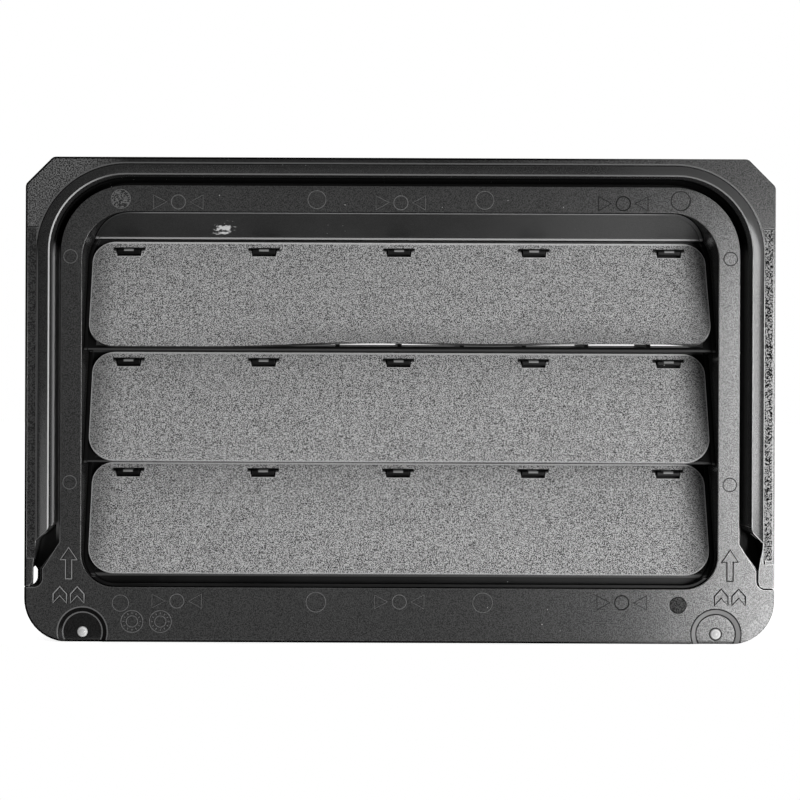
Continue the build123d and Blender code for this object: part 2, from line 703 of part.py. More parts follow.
PIECES = {
    "outer_frame": outer_frame(),
    "flap_carrier": flap_carrier(),
    "upper_flap": flap(FLAP_AXES[0]),
    "middle_flap": flap(FLAP_AXES[1]),
    "lower_flap": flap(FLAP_AXES[2]),
    "sealing_gasket": gasket(),
    "left_edge_strip": side_strip(-1),
    "right_edge_strip": side_strip(1),
}

os.makedirs("parts", exist_ok=True)
for name, piece in PIECES.items():
    piece.label = name
    export_step(piece, f"parts/{name}.step")
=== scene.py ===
import json
import math

import bmesh
import bpy
from mathutils import Matrix, Vector


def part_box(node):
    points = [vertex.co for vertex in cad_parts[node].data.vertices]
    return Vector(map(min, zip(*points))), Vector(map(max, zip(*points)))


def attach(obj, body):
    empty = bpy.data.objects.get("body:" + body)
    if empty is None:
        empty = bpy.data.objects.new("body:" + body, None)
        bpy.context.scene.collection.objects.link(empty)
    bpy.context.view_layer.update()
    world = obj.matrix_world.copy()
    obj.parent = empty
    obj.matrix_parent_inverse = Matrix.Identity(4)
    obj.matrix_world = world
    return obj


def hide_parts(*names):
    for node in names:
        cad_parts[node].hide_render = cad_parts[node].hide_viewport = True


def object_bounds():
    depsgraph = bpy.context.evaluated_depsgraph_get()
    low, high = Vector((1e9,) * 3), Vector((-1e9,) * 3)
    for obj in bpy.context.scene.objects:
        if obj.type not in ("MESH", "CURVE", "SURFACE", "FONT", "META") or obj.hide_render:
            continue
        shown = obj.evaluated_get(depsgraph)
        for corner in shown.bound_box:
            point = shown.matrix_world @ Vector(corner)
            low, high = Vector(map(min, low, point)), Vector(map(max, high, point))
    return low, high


# The vent is packed in metres: +X is right as seen from outside the body, +Z is up and outside is -Y.
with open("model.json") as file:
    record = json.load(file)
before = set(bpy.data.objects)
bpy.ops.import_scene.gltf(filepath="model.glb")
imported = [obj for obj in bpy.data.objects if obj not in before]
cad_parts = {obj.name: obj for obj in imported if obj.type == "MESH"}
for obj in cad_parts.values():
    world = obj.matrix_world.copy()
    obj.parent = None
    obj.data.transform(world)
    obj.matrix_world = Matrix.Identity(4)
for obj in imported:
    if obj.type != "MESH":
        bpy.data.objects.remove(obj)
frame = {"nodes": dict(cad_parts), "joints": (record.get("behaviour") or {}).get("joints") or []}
cad_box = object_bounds()
nodes = frame["nodes"]
scene = bpy.context.scene


# The camera. The photograph was taken square on from about 0.65 m, a little left of the vent's middle,
# and it hangs a quarter of a degree clockwise. A small shift brings the vent back to the middle.
mm = 0.001
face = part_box("left_edge_strip")[0].y
pixel = 0.355 * mm
picture = 800 * pixel
camera_distance = 650 * mm
camera_left = 21 * mm
camera_roll = math.radians(-0.23)

lens = bpy.data.cameras.new("camera")
lens.sensor_width = 36
lens.lens = lens.sensor_width * camera_distance / picture
lens.shift_x = camera_left / picture
lens.clip_start = 10 * mm
camera = bpy.data.objects.new("camera", lens)
camera.location = (-camera_left, face - camera_distance, 0)
camera.rotation_euler = (math.radians(90), camera_roll, 0)
scene.collection.objects.link(camera)
scene.camera = camera
scene.view_settings.view_transform = "Standard"


# The frame is one black polypropylene moulding. Its mould was spark eroded, finely on the flat faces and
# coarsely in the upper corners, and a fine bright line is painted along its edges as a highlight.
def plug(tree, socket, value):
    """Set a socket, or link it where the value is another node's socket."""
    if isinstance(value, bpy.types.NodeSocket):
        tree.links.new(value, socket)
    else:
        socket.default_value = value


def add(tree, kind, **inputs):
    """A shader node with the named sockets set or linked."""
    made = tree.nodes.new(kind)
    for name, value in inputs.items():
        plug(tree, made.inputs[name.replace("_", " ")], value)
    return made


def maths(tree, operation, *values):
    """The result of a Math node on numbers or sockets."""
    made = tree.nodes.new("ShaderNodeMath")
    made.operation = operation
    for socket, value in zip(made.inputs, values):
        plug(tree, socket, value)
    return made.outputs[0]


def times(tree, first, *others):
    """The product of numbers or sockets."""
    product = first
    for value in others:
        product = maths(tree, "MULTIPLY", product, value)
    return product


def beyond(tree, value, edge):
    """How far value is above edge, or 0 below it."""
    return maths(tree, "MAXIMUM", maths(tree, "SUBTRACT", value, edge), 0.0)


def length(tree, x, z):
    """The length of the vector (x, z)."""
    return maths(tree, "SQRT", maths(tree, "ADD", times(tree, x, x), times(tree, z, z)))


def step(tree, value, low, high, to_low=0.0, to_high=1.0):
    """A smooth step from to_low to to_high while value goes from low to high."""
    made = add(tree, "ShaderNodeMapRange", Value=value)
    made.interpolation_type = "SMOOTHSTEP"
    made.inputs["From Min"].default_value = low
    made.inputs["From Max"].default_value = high
    made.inputs["To Min"].default_value = to_low
    made.inputs["To Max"].default_value = to_high
    return made.outputs["Result"]


def band(tree, value, low, full, still_full, high):
    """A mask that rises while value goes from low to full, and falls from still_full to high."""
    return times(tree, step(tree, value, low, full), step(tree, value, high, still_full))


def stripe(tree, value, middle, full, gone):
    """A mask that is 1 where value is within full of middle, and 0 where it is further off than gone."""
    return step(tree, maths(tree, "ABSOLUTE", maths(tree, "SUBTRACT", value, middle)), gone, full)


def tint(tree, mask, first, second):
    """A colour that goes from first to second as the mask goes from 0 to 1."""
    made = tree.nodes.new("ShaderNodeMix")
    made.data_type = "RGBA"
    plug(tree, made.inputs[0], mask)
    for index, value in ((6, first), (7, second)):
        plug(tree, made.inputs[index], value if isinstance(value, bpy.types.NodeSocket) else (value, value, value, 1))
    return made.outputs[2]


def grey(tree, value):
    """A grey colour of the given value."""
    made = tree.nodes.new("ShaderNodeCombineColor")
    for socket in made.inputs[:3]:
        tree.links.new(value, socket)
    return made.outputs[0]


def noise(tree, place, scale, detail=2.0, roughness=0.5):
    """The factor of a Noise node."""
    return add(tree, "ShaderNodeTexNoise", Vector=place, Scale=scale, Detail=detail, Roughness=roughness).outputs[0]


def split(tree, kind, output):
    """The x, y and z of a new node's vector."""
    return add(tree, "ShaderNodeSeparateXYZ", Vector=tree.nodes.new(kind).outputs[output]).outputs


def new_group(name, inputs, outputs):
    """A shader node group with float inputs and outputs, and its two end nodes."""
    made = bpy.data.node_groups.new(name, "ShaderNodeTree")
    for label, value in inputs.items():
        socket = made.interface.new_socket(label, in_out="INPUT", socket_type="NodeSocketFloat")
        socket.default_value = value
    for label in outputs:
        made.interface.new_socket(label, in_out="OUTPUT", socket_type="NodeSocketFloat")
    return made, made.nodes.new("NodeGroupInput"), made.nodes.new("NodeGroupOutput")


def use_group(tree, group, **inputs):
    """A node that runs a group inside a material."""
    made = tree.nodes.new("ShaderNodeGroup")
    made.node_tree = group
    for name, value in inputs.items():
        plug(tree, made.inputs[name.replace("_", " ")], value)
    return made


def new_material(name, slot_colour):
    """An empty material with a Principled shader."""
    made = bpy.data.materials.new(name)
    made.use_nodes = True
    made.node_tree.nodes.clear()
    shader = made.node_tree.nodes.new("ShaderNodeBsdfPrincipled")
    output = made.node_tree.nodes.new("ShaderNodeOutputMaterial")
    made.node_tree.links.new(shader.outputs[0], output.inputs["Surface"])
    made.diffuse_color = (*slot_colour, 1)
    return made, made.node_tree, shader


def dress(name, material):
    """Give a piece of the CAD its material."""
    nodes[name].data.materials.clear()
    nodes[name].data.materials.append(material)


def fine_skin(tree, grain, edge_round):
    """The normal of finely grained plastic whose edges look rounded by the radius edge_round."""
    rounded = add(tree, "ShaderNodeBevel", Radius=edge_round)
    rounded.samples = 6
    return add(
        tree, "ShaderNodeBump", Height=grain, Strength=0.12, Distance=0.1 * mm, Normal=rounded.outputs[0]).outputs[0]


spark_grain, ends_in, ends_out = new_group("spark_grain", {"Grains per metre": 1500.0}, ["Height", "Patches"])
place = spark_grain.nodes.new("ShaderNodeTexCoord").outputs["Object"]
fine = noise(spark_grain, place, ends_in.outputs[0], 4.0, 0.65)
patches = noise(spark_grain, place, 45.0, 3.0, 0.6)
spark_grain.links.new(fine, ends_out.inputs["Height"])
spark_grain.links.new(step(spark_grain, patches, 0.4, 0.65), ends_out.inputs["Patches"])

# Masks for painted light and shade: convex edges get a painted highlight, creases painted shade.
edge_highlight_and_crease_shade, ends_in, ends_out = new_group("edge_highlight_and_crease_shade", {"Width": 0.0004, "Crease": 0.001}, ["Edges", "Creases"])
thin = edge_highlight_and_crease_shade.nodes.new("ShaderNodeAmbientOcclusion")
thin.inside = True
thin.only_local = True
thin.samples = 8
edge_highlight_and_crease_shade.links.new(ends_in.outputs["Width"], thin.inputs["Distance"])
edge_highlight_and_crease_shade.links.new(step(edge_highlight_and_crease_shade, thin.outputs["AO"], 0.95, 0.6), ends_out.inputs["Edges"])
crowded = edge_highlight_and_crease_shade.nodes.new("ShaderNodeAmbientOcclusion")
crowded.samples = 8
edge_highlight_and_crease_shade.links.new(ends_in.outputs["Crease"], crowded.inputs["Distance"])
edge_highlight_and_crease_shade.links.new(step(edge_highlight_and_crease_shade, crowded.outputs["AO"], 0.85, 0.4), ends_out.inputs["Creases"])

dust, ends_in, ends_out = new_group("dust", {"Amount": 0.5}, ["Specks", "Film"])
place = dust.nodes.new("ShaderNodeTexCoord").outputs["Object"]
specks = add(dust, "ShaderNodeTexVoronoi", Vector=place, Scale=260.0, Randomness=1.0)
near = maths(dust, "LESS_THAN", specks.outputs["Distance"], 0.055)
fewest = maths(dust, "SUBTRACT", 0.68, times(dust, ends_in.outputs[0], 0.12))
some = maths(dust, "GREATER_THAN", noise(dust, place, 31.0, 1.0), fewest)
dust.links.new(times(dust, near, some), ends_out.inputs["Specks"])
dust_film_and_gutter_light = step(dust, noise(dust, place, 14.0, 5.0, 0.7), 0.42, 0.75)
dust.links.new(times(dust, dust_film_and_gutter_light, ends_in.outputs[0]), ends_out.inputs["Film"])

plastic, tree, shader = new_material("frame_plastic", (0.02, 0.02, 0.021))
place = tree.nodes.new("ShaderNodeTexCoord").outputs["Object"]
across, depth, height = add(tree, "ShaderNodeSeparateXYZ", Vector=place).outputs
facing = split(tree, "ShaderNodeNewGeometry", "Normal")[1]
side = maths(tree, "ABSOLUTE", across)
on_left = step(tree, across, 0.0, -1 * mm)
on_right = step(tree, across, 0.0, 1 * mm)
fine_grain = use_group(tree, spark_grain, Grains_per_metre=2600.0)
coarse_grain = use_group(tree, spark_grain, Grains_per_metre=2000.0)
dusty = use_group(tree, dust, Amount=1.1)
edge_and_crease_shading = use_group(tree, edge_highlight_and_crease_shade, Width=0.35 * mm, Crease=1.2 * mm)

# The coarse grain lies outside the rim's foot, which is a rounded arch, and only near the upper corners.
arch_corner = Vector((97.35 * mm, 51.7 * mm))
arch_round = 31.8 * mm
reach = length(tree, beyond(tree, side, arch_corner.x), beyond(tree, height, arch_corner.y))
outside_rim = step(tree, reach, arch_round, arch_round + 0.6 * mm)
corner = times(tree, outside_rim, step(tree, side, 94 * mm, 116 * mm), step(tree, height, 48 * mm, 60 * mm))
grainy = times(tree, corner, step(tree, across, 40 * mm, -40 * mm, 0.15, 1.0))
body_tone = tint(tree, step(tree, fine_grain.outputs["Height"], 0.38, 0.62), 0.016, 0.054)
corner_tone = tint(tree, step(tree, coarse_grain.outputs["Height"], 0.44, 0.56), 0.004, 0.13)
tone = tint(tree, grainy, body_tone, corner_tone)
tone = tint(tree, times(tree, dusty.outputs["Film"], 0.1), tone, 0.08)

# The narrow band above the rim is darker. Along the rim's foot a line of painted shade runs inside and a line
# of painted highlight outside.
above_rim = times(
    tree, step(tree, height, 83.3 * mm, 83.9 * mm), step(tree, across, 60 * mm, 20 * mm),
    step(tree, side, 104 * mm, 96 * mm))
tone = tint(tree, times(tree, above_rim, 0.7), tone, 0.008)
foot_reach = maths(tree, "MAXIMUM", reach, maths(tree, "SUBTRACT", side, arch_corner.x))
above_drain = step(tree, height, -52 * mm, -50 * mm)
on_face = step(tree, depth, face - 1.0 * mm, face - 0.3 * mm)
for off_foot, foot_shade_and_highlight_tone in ((0.05 * mm, 0.004), (0.5 * mm, 0.11)):
    foot_shade_and_highlight = stripe(tree, foot_reach, arch_round + off_foot, 0.2 * mm, 0.3 * mm)
    tone = tint(tree, times(tree, foot_shade_and_highlight, on_face, above_drain, 0.8), tone, foot_shade_and_highlight_tone)

# The strip's seam on the left catches a little light.
seam = times(
    tree, stripe(tree, foot_reach, arch_round - 0.3 * mm, 0.12 * mm, 0.25 * mm),
    step(tree, depth, face - 1.2 * mm, face - 0.9 * mm), above_drain,
    step(tree, across, -100 * mm, -110 * mm), step(tree, height, 56 * mm, 48 * mm))
tone = tint(tree, times(tree, seam, 0.8), tone, 0.22)

# Faces that look sideways, in the gutter, the opening and the outer edge, are dull and painted nearly black as
# shade, and everything well below the face is painted dark as shade.
sideways_shade = times(tree, step(tree, facing, -0.75, -0.45), step(tree, depth, face - 0.2 * mm, face + 0.05 * mm))
tone = tint(tree, sideways_shade, tone, 0.004)
below_face_shade = step(tree, depth, face + 2 * mm, face + 3 * mm)
tone = tint(tree, below_face_shade, tone, 0.014)

# Light from the side reaches the left drain's chute and the rim's slope round the upper right corner.
chute = times(
    tree, step(tree, height, -38 * mm, -42 * mm), step(tree, depth, face + 0.3 * mm, face + 1 * mm),
    step(tree, across, -119 * mm, -121 * mm))
chute_tone = grey(tree, step(tree, height, -62 * mm, -44 * mm, 0.02, 0.09))
tone = tint(tree, times(tree, chute, 0.8), tone, chute_tone)
slope = times(
    tree, step(tree, depth, face - 0.2 * mm, face - 0.6 * mm), step(tree, height, 30 * mm, 56 * mm),
    step(tree, across, 60 * mm, 95 * mm))
tone = tint(tree, times(tree, slope, 0.8), tone, 0.075)

# Convex edges are painted pale as a highlight, most on the right below the arch where the light falls, and
# creases are painted black as shade.
edge_highlight_tone = grey(tree, times(
    tree, step(tree, across, 98 * mm, 112 * mm, 0.2, 0.65), step(tree, height, 56 * mm, 30 * mm, 0.35, 1.0)))
tone = tint(tree, times(tree, edge_and_crease_shading.outputs["Edges"], 0.8), tone, edge_highlight_tone)
tone = tint(tree, times(tree, edge_and_crease_shading.outputs["Creases"], 0.9), tone, 0.003)

# The side walls of the gutter are painted paler as light, most on the left and more the deeper they go, and
# the crest above them is painted pale as a highlight, most on the left. Specks of dust show on all but the
# right end.
wall_x = 123.7 * mm
in_gutter = band(tree, side, wall_x - 1.0 * mm, wall_x - 0.8 * mm, wall_x + 0.04 * mm, wall_x + 0.12 * mm)
straight = band(tree, height, -52 * mm, -46 * mm, 50 * mm, 57 * mm)
dust_film_and_gutter_light = times(
    tree, in_gutter, straight, step(tree, depth, face - 3.4 * mm, face - 2.6 * mm),
    step(tree, across, 10 * mm, -10 * mm, 0.2, 0.9))
gutter_light_tone = grey(tree, step(tree, depth, face - 2 * mm, face + 6 * mm, 0.1, 0.8))
tone = tint(tree, dust_film_and_gutter_light, tone, gutter_light_tone)
crest_highlight = step(tree, depth, face - 5.88 * mm, face - 5.97 * mm)
crest_highlight_tone = grey(tree, step(tree, across, -100 * mm, -122 * mm, 0.13, 0.55))
tone = tint(tree, times(tree, crest_highlight, 0.95), tone, crest_highlight_tone)
speck_tone = grey(tree, step(tree, across, 60 * mm, 95 * mm, 0.3, 0.003))
tone = tint(tree, times(tree, dusty.outputs["Specks"], 0.8), tone, speck_tone)

# The two gate stubs were cut off hot, which left them whitish. The dishes round them are painted dark as shade
# on the left, and on the right their slope is painted light. Their rings are painted pale on the left and dark
# on the right, and a ring of painted shade lies round each stub's foot.
gate = Vector((112.5 * mm, -82.7 * mm))
from_stub = length(tree, maths(tree, "SUBTRACT", side, gate.x), maths(tree, "SUBTRACT", height, gate.y))
in_front = maths(tree, "LESS_THAN", depth, face + 1.6 * mm)
dish_inside = times(tree, step(tree, from_stub, 7.0 * mm, 6.8 * mm), in_front)
tone = tint(tree, times(tree, dish_inside, on_left, 0.85), tone, 0.005)
dish_slope = times(tree, band(tree, from_stub, 6.9 * mm, 7.1 * mm, 8.8 * mm, 9.0 * mm), in_front)
tone = tint(tree, times(tree, dish_slope, on_right, 0.9), tone, 0.24)
shaded_dish_slope = times(tree, dish_slope, on_left)
tone = tint(tree, times(tree, shaded_dish_slope, 0.9), tone, 0.003)
ring_light_and_shade_tone = grey(tree, step(tree, across, -1 * mm, 1 * mm, 0.13, 0.003))
right_rings = 0.0
for radius in (8.9 * mm, 7.0 * mm):
    ring = times(tree, stripe(tree, from_stub, radius, 0.16 * mm, 0.3 * mm), in_front)
    tone = tint(tree, times(tree, ring, 0.95), tone, ring_light_and_shade_tone)
    right_rings = maths(tree, "MAXIMUM", right_rings, times(tree, ring, on_right))
stub = times(tree, step(tree, from_stub, 1.95 * mm, 1.8 * mm), in_front)
stub_ring = stripe(tree, from_stub, 1.4 * mm, 0.1 * mm, 0.3 * mm)
tone = tint(tree, stub, tone, tint(tree, stub_ring, 0.5, 0.72))
stub_foot_shade = times(tree, stripe(tree, from_stub, 2.1 * mm, 0.15 * mm, 0.3 * mm), in_front)
tone = tint(tree, times(tree, stub_foot_shade, 0.9), tone, 0.01)

# A rough, paler patch lies inside the lower right corner. The moulding's outer rim turns away from the light
# on the left and in the middle, where it is a black line.
bottom_corner = Vector((117.9 * mm, -70.9 * mm))
bottom_round = 15.3 * mm
low_x = beyond(tree, side, bottom_corner.x)
low_z = beyond(tree, bottom_corner.y, height)
past_corner = maths(tree, "SUBTRACT", length(tree, low_x, low_z), bottom_round)
past_chamfer = times(tree, maths(tree, "SUBTRACT", maths(tree, "ADD", side, height), 209.45 * mm), math.sqrt(0.5))
past_top = maths(tree, "SUBTRACT", height, 86.05 * mm)
past = maths(tree, "MAXIMUM", maths(tree, "MAXIMUM", past_corner, past_chamfer), past_top)
black_rim = times(tree, step(tree, past, -0.8 * mm, -0.6 * mm), step(tree, across, 100 * mm, 50 * mm))
rough = times(
    tree, step(tree, past_corner, -5.5 * mm, -3.5 * mm),
    step(tree, maths(tree, "MINIMUM", low_x, low_z), 0.2 * mm, 2 * mm), on_right,
    step(tree, noise(tree, place, 1700.0, 2.0, 0.6), 0.44, 0.6))
tone = tint(tree, times(tree, rough, 0.4), tone, 0.2)
tone = tint(tree, black_rim, tone, 0.001)
tree.links.new(tone, shader.inputs["Base Color"])

# The skin sparkles where the grain stands up, and is dull wherever one of these masks says so.
dull = 0.0
for mask in (black_rim, shaded_dish_slope, sideways_shade, below_face_shade, dusty.outputs["Specks"], right_rings, stub_foot_shade, times(
        tree, edge_and_crease_shading.outputs["Creases"], 0.8), times(tree, corner, on_right, 0.5)):
    dull = maths(tree, "MAXIMUM", dull, mask)
sparkle = step(tree, fine_grain.outputs["Height"], 0.35, 0.65, 0.2, 0.8)
sparkle = times(tree, sparkle, maths(tree, "SUBTRACT", 1.0, times(tree, dull, 0.96)))
tree.links.new(sparkle, shader.inputs["Specular IOR Level"])
roughness = maths(tree, "ADD", 0.19, times(tree, fine_grain.outputs["Patches"], 0.01))
roughness = maths(tree, "ADD", roughness, times(tree, grainy, 0.2))
tree.links.new(roughness, shader.inputs["Roughness"])
fine_bump = fine_skin(tree, fine_grain.outputs["Height"], 0.15 * mm)
coarse_bump = add(
    tree, "ShaderNodeBump", Height=coarse_grain.outputs["Height"], Strength=times(tree, grainy, 0.6),
    Distance=0.25 * mm, Normal=fine_bump)
tree.links.new(coarse_bump.outputs[0], shader.inputs["Normal"])
dress("outer_frame", plastic)


# The up arrows stand beside the lower corners, as raised outlines cut into the mould. Two plain chevrons
# under each arrow repeat it. The cut lines and the pads are matt, since the mould was left rough there.
def matt_plastic(name, left, right, mottled=0.0):
    """The frame's plastic with a matt skin, whose tone goes from left to right across the vent."""
    made, tree, shader = new_material(name, (left, left, left))
    place = tree.nodes.new("ShaderNodeTexCoord").outputs["Object"]
    across = add(tree, "ShaderNodeSeparateXYZ", Vector=place).outputs[0]
    tone = grey(tree, step(tree, across, 30 * mm, 60 * mm, left, right))
    mottle = step(tree, noise(tree, place, 2200.0, 2.0), 0.42, 0.58, 0.0, mottled)
    tree.links.new(tint(tree, mottle, tone, 0.004), shader.inputs["Base Color"])
    shader.inputs["Roughness"].default_value = 0.75
    shader.inputs["Specular IOR Level"].default_value = 0.1
    return made


# Painted light and shade: cut and faint lines go pale to dark from left to right, their shadow copies dark to pale.
cut_line_light_and_shade = matt_plastic("frame_plastic_cut", 0.24, 0.004)
cut_line_shadow_and_light = matt_plastic("frame_plastic_shade", 0.002, 0.45)
faint_line_light_and_shade = matt_plastic("frame_plastic_faint", 0.13, 0.012, 0.3)


def ridge(name, outlines, thickness=0.48 * mm, material=cut_line_light_and_shade):
    """Half-round ridges on the face plate along outlines, each a list of (x, z) points that closes on itself."""
    line = bpy.data.curves.new(name, "CURVE")
    line.dimensions = "3D"
    line.bevel_depth = thickness / 2
    line.bevel_resolution = 2
    for outline in outlines:
        spline = line.splines.new("POLY")
        spline.points.add(len(outline) - 1)
        for point, (x, z) in zip(spline.points, outline):
            point.co = (x, face, z, 1)
        spline.use_cyclic_u = True
    drawn = bpy.data.objects.new(name + "_line", line)
    scene.collection.objects.link(drawn)
    bpy.context.view_layer.update()
    mesh = bpy.data.meshes.new_from_object(drawn)
    bpy.data.objects.remove(drawn)
    mesh.name = name
    piece = bpy.data.objects.new(name, mesh)
    piece.data.materials.clear()
    piece.data.materials.append(material)
    scene.collection.objects.link(piece)
    for polygon in mesh.polygons:
        polygon.use_smooth = True
    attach(piece, "vent_frame")


def moved(outline, x, z):
    """An outline moved by x and z."""
    return [(px + x, pz + z) for px, pz in outline]


def circle(radius, count=40):
    """A round outline about the origin."""
    return [(radius * math.cos(math.tau * k / count), radius * math.sin(math.tau * k / count)) for k in range(count)]


arrow_x = 117.4 * mm
arrow_tip = -52.7 * mm
arrow_head = 4.4 * mm
arrow_half = 3.0 * mm
arrow_shaft = 1.1 * mm
arrow_foot = -63.9 * mm
arrow = [
    (0, arrow_tip),
    (arrow_half, arrow_tip - arrow_head),
    (arrow_shaft, arrow_tip - arrow_head),
    (arrow_shaft, arrow_foot),
    (-arrow_shaft, arrow_foot),
    (-arrow_shaft, arrow_tip - arrow_head),
    (-arrow_half, arrow_tip - arrow_head),
]
chevron_half = 2.4 * mm
chevron_rise = 2.6 * mm
chevron_band = 3.2 * mm
chevron_foot = -72.4 * mm
chevron = [
    (-chevron_half, chevron_foot),
    (0, chevron_foot + chevron_rise),
    (chevron_half, chevron_foot),
    (chevron_half, chevron_foot + chevron_band),
    (0, chevron_foot + chevron_rise + chevron_band),
    (-chevron_half, chevron_foot + chevron_band),
]
for name, place_x in (("up_arrow_left", -arrow_x), ("up_arrow_right", arrow_x)):
    marks = [moved(arrow, place_x, 0), moved(chevron, place_x - 3.1 * mm, 0), moved(chevron, place_x + 3.1 * mm, 0)]
    ridge(name, marks, 0.56 * mm)
    # A thinner copy beside each mark is painted as its shadow on the left and as light on the right.
    ridge(name + "_shade", [moved(mark, 0.34 * mm, -0.12 * mm) for mark in marks], 0.34 * mm, cut_line_shadow_and_light)


# Six press marks show where to push the frame home, in front of its snap hooks: a ring between two
# triangles, in very low relief.
press_rows = {"press_marks_top": 70.1 * mm, "press_marks_bottom": -71.6 * mm}
press_spacing = 79 * mm
press_ring = circle(2.5 * mm)
press_wedge = [(4.2 * mm, 0), (8.8 * mm, 2.5 * mm), (8.8 * mm, -2.5 * mm)]
press_mark = [press_ring, press_wedge, [(-x, z) for x, z in press_wedge]]
for name, row in press_rows.items():
    outlines = [moved(part, press_spacing * place, row) for place in (-1, 0, 1) for part in press_mark]
    ridge(name, outlines, 0.4 * mm, faint_line_light_and_shade)


# The ejector pins left round pads on the face, a little rough, each with a fine witness ring round it.
pads = [(99.4 * mm, 71.1 * mm, 3.4 * mm), (29.8 * mm, 71.1 * mm, 3.2 * mm), (99.0 * mm, -72.4 * mm, 2.9 * mm),
        (29.6 * mm, -71.8 * mm, 3.5 * mm), (117.2 * mm, 50.6 * mm, 2.4 * mm), (117.2 * mm, -29.6 * mm, 2.4 * mm)]
dark_pad = pads[2]
pads = [(sign * x, z, radius) for x, z, radius in pads for sign in (-1, 1)]
ridge("ejector_rings", [moved(circle(radius), x, z) for x, z, radius in pads], 0.32 * mm, faint_line_light_and_shade)
pad_height = 0.06 * mm
pad_plastic = matt_plastic("frame_plastic_pad", 0.13, 0.065, 0.9)
discs = bmesh.new()
for x, z, radius in ((-99.4 * mm, 71.1 * mm, 3.3 * mm), dark_pad):
    made = bmesh.ops.create_circle(discs, cap_ends=True, segments=32, radius=radius)["verts"]
    bmesh.ops.rotate(discs, verts=made, matrix=Matrix.Rotation(math.radians(90), 3, "X"))
    bmesh.ops.translate(discs, verts=made, vec=(x, face - pad_height, z))
bmesh.ops.solidify(discs, geom=discs.faces[:], thickness=pad_height / 2)
pad_mesh = bpy.data.meshes.new("ejector_pads")
discs.to_mesh(pad_mesh)
discs.free()
pad_mesh.materials.append(pad_plastic)
ejector_pads = bpy.data.objects.new("ejector_pads", pad_mesh)
scene.collection.objects.link(ejector_pads)
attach(ejector_pads, "vent_frame")


# Two round tooling inserts beside the lower left corner left their mark. Plain ticked rings stand for them,
# without figures.
insert_x = (-94.9 * mm, -84.8 * mm)
insert_z = -78.9 * mm
insert_lines = []
for x in insert_x:
    insert_lines += [moved(circle(3.9 * mm), x, insert_z), moved(circle(2.0 * mm), x, insert_z)]
    for tick in range(12):
        turn = math.tau * tick / 12
        spoke = Vector((math.cos(turn), math.sin(turn)))
        insert_lines.append(moved([spoke * 2.6 * mm, spoke * 3.3 * mm], x, insert_z))
ridge("tooling_rings", insert_lines, 0.38 * mm, faint_line_light_and_shade)


# In the photograph the end of the right arm is wider than that of the left one, so no light comes through
# the right drain. This lip stands for the wider end. Behind the face, thin webs close the outer ends of both
# slits, and a back stands in the right drain; webs and back are painted nearly black as shade. The outlines
# are in millimetres.
lip_outline = [(129.25, -49.5), (129.0, -52.8), (128.0, -57.1), (127.6, -60.3), (127.5, -64.2), (128.0, -65.7),
               (129.2, -66.3), (132.9, -66.3), (132.9, -57.8), (129.25, -57.8)]
left_web = [(-133.1, -66.0), (-131.9, -66.0), (-131.9, -67.2), (-133.1, -67.2)]
right_web = [(133.1, -66.0), (127.0, -66.0), (127.0, -67.2), (133.1, -67.2)]
drain_back = [(131.5, -58.5), (125.8, -58.5), (125.8, -67.0), (131.5, -67.0)]
lip_bmesh = bmesh.new()
lip_thick = 0.8 * mm
layers = ((lip_outline, -0.02 * mm), (left_web, 0.9 * mm), (right_web, 2.2 * mm), (drain_back, 3.1 * mm))
for outline, sunk in layers:
    before = set(lip_bmesh.faces)
    corners = [lip_bmesh.verts.new((x * mm, face + sunk, z * mm)) for x, z in outline]
    pulled = bmesh.ops.extrude_face_region(lip_bmesh, geom=[lip_bmesh.faces.new(corners)])["geom"]
    pulled = [part for part in pulled if isinstance(part, bmesh.types.BMVert)]
    bmesh.ops.translate(lip_bmesh, verts=pulled, vec=(0, lip_thick, 0))
    for side_face in set(lip_bmesh.faces) - before:
        side_face.material_index = 0 if outline is lip_outline else 1
bmesh.ops.recalc_face_normals(lip_bmesh, faces=lip_bmesh.faces[:])
lip_mesh = bpy.data.meshes.new("right_drain_lip")
lip_bmesh.to_mesh(lip_mesh)
lip_bmesh.free()
lip_mesh.materials.append(plastic)
lip_mesh.materials.append(matt_plastic("frame_plastic_dark", 0.003, 0.003))
lip = bpy.data.objects.new("right_drain_lip", lip_mesh)
scene.collection.objects.link(lip)
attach(lip, "vent_frame")


# The louvre grid is a second black moulding, pushed into the frame's collar from behind. Its hood has been
# scuffed white near the left end, and it is painted lighter from the middle towards the right end, as light.
grid_plastic, tree, shader = new_material("grid_plastic", (0.015, 0.015, 0.016))
place = tree.nodes.new("ShaderNodeTexCoord").outputs["Object"]
across, depth, height = add(tree, "ShaderNodeSeparateXYZ", Vector=place).outputs
facing = split(tree, "ShaderNodeNewGeometry", "Normal")[1]
fine_grain = use_group(tree, spark_grain, Grains_per_metre=2600.0)
dusty = use_group(tree, dust, Amount=0.6)
edge_and_crease_shading = use_group(tree, edge_highlight_and_crease_shade, Width=0.35 * mm, Crease=1.5 * mm)
on_hood = step(tree, height, 58.2 * mm, 58.3 * mm)
hood_lit_tone = grey(tree, step(tree, across, 10 * mm, 90 * mm, 0.005, 0.08))
hood_lit_tone = tint(tree, step(tree, fine_grain.outputs["Height"], 0.4, 0.6, 0.0, 0.6), hood_lit_tone, 0.036)
tone = tint(tree, on_hood, tint(tree, fine_grain.outputs["Patches"], 0.003, 0.007), hood_lit_tone)
tone = tint(tree, times(tree, dusty.outputs["Film"], on_hood, 0.3), tone, 0.07)
# The hood's nose is painted pale as a highlight, and walls that face sideways are painted dark as shade.
nose_highlight = times(tree, on_hood, step(tree, height, 59.05 * mm, 58.85 * mm))
tone = tint(tree, times(tree, nose_highlight, 0.8), tone, 0.38)
wall_shade = step(tree, facing, -0.35, -0.2)
tone = tint(tree, wall_shade, tone, 0.009)
